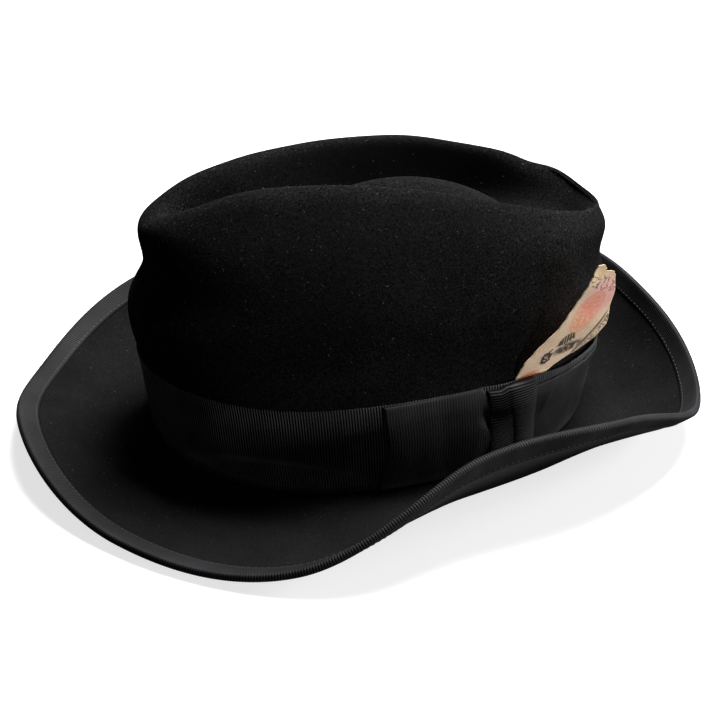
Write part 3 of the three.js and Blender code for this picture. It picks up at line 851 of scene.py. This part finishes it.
# The colour of a plain part, as a rib's height: on the upper strip and elsewhere, where it is
# lighter as painted light from below on the lip, underside and inner face.
PLAIN_UPPER, PLAIN_LIT_BELOW = 0.45, 1.0


def edge_line(turn):
    return felt(turn, np.full((len(turn), 1), float(EDGE)))[0][:, 0]


def binding():
    """A ribbed ribbon folded over the brim's edge, as a closed ring of closed sections."""
    per_rib = 4
    turns = even_turns(edge_line, per_rib)[0][:-1]
    ridge = rib(len(turns), per_rib)
    strip = BINDING_START + (EDGE - BINDING_START) * np.array([row[0] for row in UPPER_STRIP])
    last = len(strip) - 1
    point, normal, out = felt(turns, strip)
    at = lambda k, side, along: point[:, k] + normal[:, k] * side[..., None] + out[:, k] * along
    one = np.ones(len(turns))
    # Each ring of the section: its points, its least height, and how much its ribs show.
    section = []
    for k, (_, up, shown) in enumerate(UPPER_STRIP):
        raised = up * one + BINDING_RIB_HEIGHT * max(shown, 0) * ridge
        section.append((at(k, raised, 0), 2.6, shown))
    middle, half = (BIND_UPPER + BIND_LOWER) / 2, (BIND_UPPER - BIND_LOWER) / 2
    for part in range(1, LIP_PARTS):
        a = math.pi * part / LIP_PARTS
        shown = 1 - 0.8 * smooth(0.5, 1, part / LIP_PARTS)
        swell = LIP_RIBS * shown * ridge
        side = middle + half * math.cos(a)
        ring = at(last, side * one + swell * math.cos(a), BIND_OUT * math.sin(a))
        ring = ring + out[:, last] * (swell * math.sin(a))[:, None]
        section.append((ring, 1.3 * (1 + math.cos(a)), shown))
    for k in range(last, -1, -1):
        down = BIND_LOWER if k else -2.2
        section.append((at(k, down * one - LOWER_RIBS * ridge, 0), 0.0, LOWER_SHOWN))
    for k, side, along, least in INNER_FACE:
        section.append((at(k, side * one, along), least, 0))
    rings, ridges = [], []
    for ring, least, shown in section:
        ring[:, 2] = np.maximum(ring[:, 2], SURFACE + least)
        rings.append(ring)
        # Below the upper strip the plain colour is lighter: painted light from below.
        plain = PLAIN_UPPER if len(ridges) <= last else PLAIN_LIT_BELOW
        ridges.append(lerp(plain, ridge, shown) if shown >= 0 else shown * one)
    rows = np.stack(rings, axis=1)
    faces = oriented(rows, grid_faces(len(turns), rows.shape[1], True, True))
    make("brim_ribbon", rows, faces, BINDING_LOOK, node="brim_binding", slot="binding",
         rib=np.stack(ridges, axis=1).ravel())


binding()


# Part: stitches

# How far apart they start, and their length, width and height.
STITCH_PITCH, STITCH_LENGTH, STITCH_WIDTH, STITCH_HEIGHT = 2.6, 1.7, 0.42, 0.16
STITCH_STATIONS, STITCH_SIDES = 5, 6


def stitches(name, path, normals):
    """Short threads laid along a closed line on a surface."""
    arc = lengths(path)
    count = int(arc[-1] / STITCH_PITCH)
    follow = lambda s, line: np.column_stack([np.interp(s, arc, axis) for axis in line.T])
    size = np.sqrt(1 - (0.96 * np.linspace(-1, 1, STITCH_STATIONS)) ** 2)
    angles = TURN * np.arange(STITCH_SIDES) / STITCH_SIDES
    points = []
    for i in range(count):
        along = i * arc[-1] / count + np.linspace(0, STITCH_LENGTH, STITCH_STATIONS)
        centre = follow(along, path)
        up = unit(follow(along, normals))
        across = np.cross(up, unit(np.gradient(centre, axis=0)))
        wide = np.cos(angles) * STITCH_WIDTH * size[:, None] / 2
        high = np.sin(angles) * STITCH_HEIGHT * size[:, None] + STITCH_HEIGHT * 0.25
        points.append(centre[:, None] + across[:, None] * wide[..., None]
                      + up[:, None] * high[..., None])
    faces = tube_faces(count, STITCH_STATIONS, STITCH_SIDES)
    make(name, np.array(points), faces, THREAD_LOOK, slot="binding")


def binding_stitches():
    """A line of stitches along the binding's inner edge, on and under the brim."""
    turns = np.linspace(0, 1, 1441)
    point, normal, _ = felt(turns, np.full((len(turns), 1), BINDING_START + 0.22))
    point, normal = point[:, 0], normal[:, 0]
    lines = (("binding_stitches", 0.5, 1, 2.8), ("under_stitches", BIND_LOWER, -1, 0.15))
    for name, side, way, least in lines:
        path = point + normal * side
        path[:, 2] = np.maximum(path[:, 2], SURFACE + least)
        stitches(name, path, way * normal)


binding_stitches()


# Part: the slip of paper

# Height above the band's edge, and the angles of the slip's left and right edge there.
PAPER_ROWS = np.array([
    (-9, 109.5, 117),
    (-2.5, 110.1, 118.5),
    (0, 110.3, 122.5),
    (3, 110.8, 130.5),
    (7.5, 111.5, 134.2),
    (13, 114.3, 136.6),
    (22, 119.1, 135.7),
    (32, 122.2, 134),
    (42.5, 123.9, 131.5),
    (50.5, 124.7, 125.8),
])
# How far the slip leans out for each millimetre up, how far its free side bends, and over
# which height.
PAPER_LEAN, PAPER_BEND, BEND_HEIGHT = 0.35, 4.4, 8
PAPER_COLUMNS, PAPER_LINES, PAPER_SEAT = 64, 120, 0.2
# The notch in its torn top: depth, height and half height.
TORN_DEPTH, TORN_AT, TORN_HALF = 1.4, 46.6, 1.0

# The print is laid out in millimetres from this angle and from the band's top edge.
PRINT_MIDDLE, PRINT_PER_DEGREE, PRINT_SPAN = 125, 1.54, 50
# The line where the slip's second leaf is folded over: a height, its place across there, its
# slant and its top. Then the leaf's thickness.
FOLD_FOOT, FOLD_ACROSS, FOLD_SLANT, FOLD_TOP, LEAF = 3, 5.4, 0.6, 24, 0.7


class Print(Graph):
    """Shapes printed on the slip, each as a share of ink from 0 to 1.

    A place is its middle across and up, its half width and half height, and its slant.
    """

    def __init__(self, name):
        super().__init__(name)
        source = self.node("ShaderNodeUVMap", uv_map="print").outputs[0]
        parts = self.node("ShaderNodeSeparateXYZ")
        self.link(source, parts.inputs[0])
        self.x = self.times(parts.outputs[0], PRINT_SPAN)
        self.y = self.times(parts.outputs[1], PRINT_SPAN)
        self.flat = self.scaled(source, (PRINT_SPAN, PRINT_SPAN, 1))

    def joined(self, operation, first, *others):
        for other in others:
            first = self.math(operation, first, other)
        return first

    def both(self, *shares):
        """What lies in all of the shapes."""
        return self.joined("MULTIPLY", *shares)

    def either(self, *shares):
        """What lies in any of the shapes."""
        return self.joined("MAXIMUM", *shares)

    def distance(self, x, y, half_width, half_height, slant=0.0):
        """How far off a place's middle, where 1 is its edge."""
        dx = self.minus(self.x, x)
        dy = self.minus(self.minus(self.y, y), self.times(dx, slant))
        dx, dy = self.over(dx, half_width), self.over(dy, half_height)
        return self.math("SQRT", self.plus(self.times(dx, dx), self.times(dy, dy)))

    def spot(self, *place, soft=0.3):
        return self.remap(self.distance(*place), 1 - soft, 1 + soft, 1, 0)

    def ring(self, *place, width=0.3):
        off = self.size(self.minus(self.distance(*place), 1))
        return self.remap(off, width * 0.4, width, 1, 0)

    def squiggle(self, scale, width, wobble=0.6):
        """Fine wandering lines."""
        off = self.size(self.minus(self.noise(self.flat, scale, 1.5, 0.5, wobble), 0.5))
        return self.remap(off, width * 0.5, width, 1, 0)

    def hatch(self, pitch, share, lean):
        """Upright strokes side by side."""
        along = self.plus(self.x, self.times(self.y, lean))
        off = self.size(self.minus(self.math("FRACT", self.over(along, pitch)), 0.5))
        return self.remap(off, share * 0.4, share * 0.6, 1, 0)


# Colours of the slip's paper, and then of its print, whose ink also paints the shadow line at
# the second leaf's fold.
PAPER_CLEAN, PAPER_STAINED = (0.74, 0.54, 0.36), (0.60, 0.42, 0.26)
PAPER_FIBRE, PAPER_BARE = (0.80, 0.62, 0.44), (0.93, 0.70, 0.42)
PINK, FINE_LINES = (0.86, 0.44, 0.40), (0.50, 0.22, 0.17)
PATCH, PATCH_RIM = (0.86, 0.26, 0.13), (0.80, 0.26, 0.14)
TIP, SCROLL_GROUND, INK_AND_FOLD_SHADOW = (0.62, 0.19, 0.06), (0.62, 0.25, 0.25), (0.020, 0.018, 0.014)


def paper_material():
    """Cream paper with a faded print: a round orange patch on pink, and dark scrolls, and a
    painted shadow line at the second leaf's fold.
    """
    g = Print("printed_paper")
    where = g.millimetres()
    fibres = g.noise(where, 1.3, 3, 0.6)
    stains = g.noise(where, 0.12, 3, 0.6)
    colour = g.mix(g.remap(stains, 0.35, 0.7), PAPER_CLEAN, PAPER_STAINED)
    colour = g.mix(g.remap(fibres, 0.3, 0.7), colour, PAPER_FIBRE)
    patches = g.remap(g.noise(g.flat, 0.7, 3, 0.6), 0.38, 0.62, 0.15, 0.92)
    layers = [
        (g.spot(1, 49, 9, 7, soft=0.5), PAPER_BARE),
        (g.both(g.spot(7.5, 31, 8, 10, soft=0.4), 0.85), PINK),
        (g.both(g.squiggle(0.9, 0.035), 0.3), FINE_LINES),
        (g.both(g.spot(3.2, 25, 5.8, 8.6, 0.3, soft=0.12), patches), PATCH),
        (g.both(g.ring(3.2, 25, 6.6, 9.6, 0.3, width=0.08), 0.6), PATCH_RIM),
        (g.spot(-18, -2.8, 6.2, 3.8, 0.2), TIP),
        (g.both(g.spot(-10, 6.2, 2.2, 2.4), 0.6), SCROLL_GROUND),
    ]
    for share, tint in layers:
        colour = g.mix(share, colour, tint)

    # The second leaf: a dark line of painted shadow where it is folded over, and printed scrolls
    # beside it.
    line = g.plus(FOLD_ACROSS - FOLD_FOOT * FOLD_SLANT, g.times(g.y, FOLD_SLANT))
    fold = g.minus(g.x, line)
    low = g.remap(g.y, FOLD_TOP - 6, FOLD_TOP, 1, 0)
    # The painted shadow line along the fold.
    edge = g.remap(g.size(g.plus(fold, 0.3)), 0.15, 0.6, 1, 0)
    leaf = g.both(g.remap(fold, 0.2, 0.8), g.remap(fold, 4, 7, 1, 0))

    smudge = g.remap(g.noise(g.flat, 0.5, 3, 0.6), 0.30, 0.50)
    knotted = g.either(g.squiggle(0.6, 0.08), g.ring(-10.4, 6.3, 2.1, 2.3))
    hatched = g.both(g.spot(-1.8, 13, 3.8, 2.8, 0.15, soft=0.1), g.hatch(1.3, 0.8, 0.25))
    ink_and_fold_shadow = g.either(
        g.both(g.spot(5, 39.5, 9, 3.6, -0.66, soft=0.2), g.squiggle(0.38, 0.05, 0.2), 0.85),
        g.both(g.either(hatched, g.spot(-4.4, 11.6, 1.4, 1.6)), 0.95),
        g.both(g.spot(0.5, 7.6, 7.5, 2.5, 0.02, soft=0.4), smudge, 0.95),
        g.both(g.spot(-10.4, 6.3, 3.2, 3.4, soft=0.15), knotted),
        g.both(g.ring(-4, 10.2, 6, 1.6, 0.35), g.squiggle(0.5, 0.12), 0.9),
        # Painted shadow: the dark line along the fold of the second leaf.
        g.both(edge, low, 0.75),
        g.both(leaf, low, g.squiggle(0.55, 0.09), 0.75),
    )
    g.set(g.shader, {
        "Base Color": g.mix(ink_and_fold_shadow, colour, INK_AND_FOLD_SHADOW),
        "Roughness": 0.8,
        "Normal": g.bump(fibres, 0.0001, 0.4),
    })
    return g.material


def paper_point(angle, up, out):
    """A place on the slip, at an angle and a height above the band's edge."""
    height = BAND_TOP + np.minimum(up, 0)
    turn = angle / 360
    bend = PAPER_BEND * smooth(POCKET[0], POCKET[1], angle) * smooth(0, BEND_HEIGHT, up)
    lean = PAPER_LEAN * np.maximum(up, 0) + bend + pocket(turn, height)
    point = wall(turn, height, GAP + lean + out)
    point[..., 2] += np.maximum(up, 0)
    return point


def paper():
    """The slip: its lower end is tucked behind the band, and its top is torn."""
    rows, left, right = PAPER_ROWS.T
    up = np.linspace(rows[0], rows[-1], PAPER_LINES)
    left, right = np.interp(up, rows, left), np.interp(up, rows, right)
    torn = TORN_DEPTH * hump(up, TORN_AT, TORN_HALF)
    torn = torn + 0.25 * np.sin(2.1 * up) * smooth(40, 44, up)
    right = np.maximum(right - torn, left + 0.3)
    left = left + 0.12 * np.sin(1.3 * up) * smooth(2, 6, up)
    u, v = np.broadcast_arrays(np.linspace(0, 1, PAPER_COLUMNS)[:, None], up[None, :])
    angle = lerp(left[None, :], right[None, :], u)
    across = (angle - PRINT_MIDDLE) * PRINT_PER_DEGREE
    wave = PAPER_SEAT + 0.25 * np.sin(0.35 * v + 3 * u) * smooth(0, 10, v)
    fold = across - FOLD_ACROSS - (v - FOLD_FOOT) * FOLD_SLANT
    leaf = LEAF * smooth(-0.6, 0.4, fold) * window((-1, 3, FOLD_TOP - 8, FOLD_TOP), v)
    points, faces = sheet(paper_point(angle, v, PAPER + wave + leaf), paper_point(angle, v, wave))
    flat = np.column_stack([across.ravel(), v.ravel()]) / PRINT_SPAN
    make("paper_leaf", points, faces, paper_material(), node="paper_slip", slot="paper",
         print=np.concatenate([flat, flat]))


paper()


# Part: floor, camera and light

FLOOR_HALF, FLOOR_GREY, FLOOR_GLOW = 12.0, 0.5, 0.72


def floor():
    """A pale floor that glows a little, so that only a faint shadow stays on it."""
    g = Graph("studio_floor")
    g.set(g.shader, {
        "Base Color": (FLOOR_GREY, FLOOR_GREY, FLOOR_GREY, 1),
        "Roughness": 0.9,
        "Emission Color": (1, 1, 1, 1),
        "Emission Strength": FLOOR_GLOW,
    })
    g.material.cycles.emission_sampling = "NONE"
    mesh = bpy.data.meshes.new("studio_floor")
    s = FLOOR_HALF
    mesh.from_pydata([(-s, -s, 0), (s, -s, 0), (s, s, 0), (-s, s, 0)], [], [(0, 1, 2, 3)])
    mesh.materials.append(g.material)
    plane = add("studio_floor", mesh)
    plane.visible_diffuse = False
    plane.visible_glossy = False


# The camera before the hat settles, in degrees, millimetres and pixels: how it is turned, its
# distance and focal length, how far it is shifted, and the height that it looks at.
AZIMUTH, ELEVATION, ROLL = math.radians(69.81), math.radians(26.05), math.radians(1.11)
DISTANCE, FOCAL_PIXELS, SIDE, RAISE, AIM = 744.93, 1666.17, -4.83, -31.75, 60
SENSOR, FRAME = 36.0, 720
VIEW_RIGHT = np.array([math.cos(AZIMUTH), math.sin(AZIMUTH), 0])
VIEW_NEAR = np.array([math.sin(AZIMUTH), -math.cos(AZIMUTH), 0])
ABOVE = np.array([0, 0, 1.0])


def camera():
    back = VIEW_NEAR * math.cos(ELEVATION) + ABOVE * math.sin(ELEVATION)
    up = np.cross(back, VIEW_RIGHT)
    eye = back * DISTANCE + VIEW_RIGHT * SIDE + up * RAISE + ABOVE * AIM
    across = VIEW_RIGHT * math.cos(ROLL) + up * math.sin(ROLL)
    upward = -VIEW_RIGHT * math.sin(ROLL) + up * math.cos(ROLL)
    place = (SETTLING @ eye - ORIGIN) * MM
    columns = [*(SETTLING @ v for v in (across, upward, back)), place]
    data = bpy.data.cameras.new("camera")
    data.sensor_fit = "HORIZONTAL"
    data.sensor_width = SENSOR
    data.lens = FOCAL_PIXELS * SENSOR / FRAME
    data.clip_start, data.clip_end = 0.01, 50
    made = add("camera", data)
    made.matrix_world = Matrix([*np.column_stack(columns).tolist(), [0, 0, 0, 1]])
    bpy.context.scene.camera = made


# Soft square lights that look at the crown's middle: their direction as parts to the right,
# near and above, then distance, size and power.
LIGHTS = {
    "key": (0.28, -0.38, 1, 1.3, 0.65, 52),
    "side": (1, -0.2, 0.3, 1.7, 0.45, 20),
    "rear": (0.2, -1, 0.7, 1.9, 0.9, 5),
    "bounce": (0.82, 0.56, 0.05, 1.6, 0.3, 10.5),
}
LIGHT_AIM = Vector((0, 0, 0.06))


def lights():
    for name, (right, near, above, distance, size, power) in LIGHTS.items():
        data = bpy.data.lights.new(name, "AREA")
        data.shape = "SQUARE"
        data.size = size
        data.energy = power
        light = add(name, data)
        way = Vector(right * VIEW_RIGHT + near * VIEW_NEAR + above * ABOVE).normalized()
        light.location = way * distance + LIGHT_AIM
        light.rotation_euler = way.to_track_quat("Z", "Y").to_euler()


# How bright the backdrop looks, and how much light it gives.
BACKDROP, BACKDROP_LIGHT = 1.0, 0.06


def studio():
    """A white backdrop that gives the hat only a little light."""
    world = bpy.data.worlds.new("studio")
    world.use_nodes = True
    tree = world.node_tree
    bright, dim = tree.nodes["Background"], tree.nodes.new("ShaderNodeBackground")
    for background, strength in ((bright, BACKDROP), (dim, BACKDROP_LIGHT)):
        background.inputs["Color"].default_value = (1, 1, 1, 1)
        background.inputs["Strength"].default_value = strength
    path = tree.nodes.new("ShaderNodeLightPath")
    either = tree.nodes.new("ShaderNodeMixShader")
    tree.links.new(path.outputs["Is Camera Ray"], either.inputs[0])
    tree.links.new(dim.outputs[0], either.inputs[1])
    tree.links.new(bright.outputs[0], either.inputs[2])
    tree.links.new(either.outputs[0], tree.nodes["World Output"].inputs[0])
    bpy.context.scene.world = world


floor()
camera()
lights()
studio()
bpy.context.scene.view_settings.view_transform = "Standard"
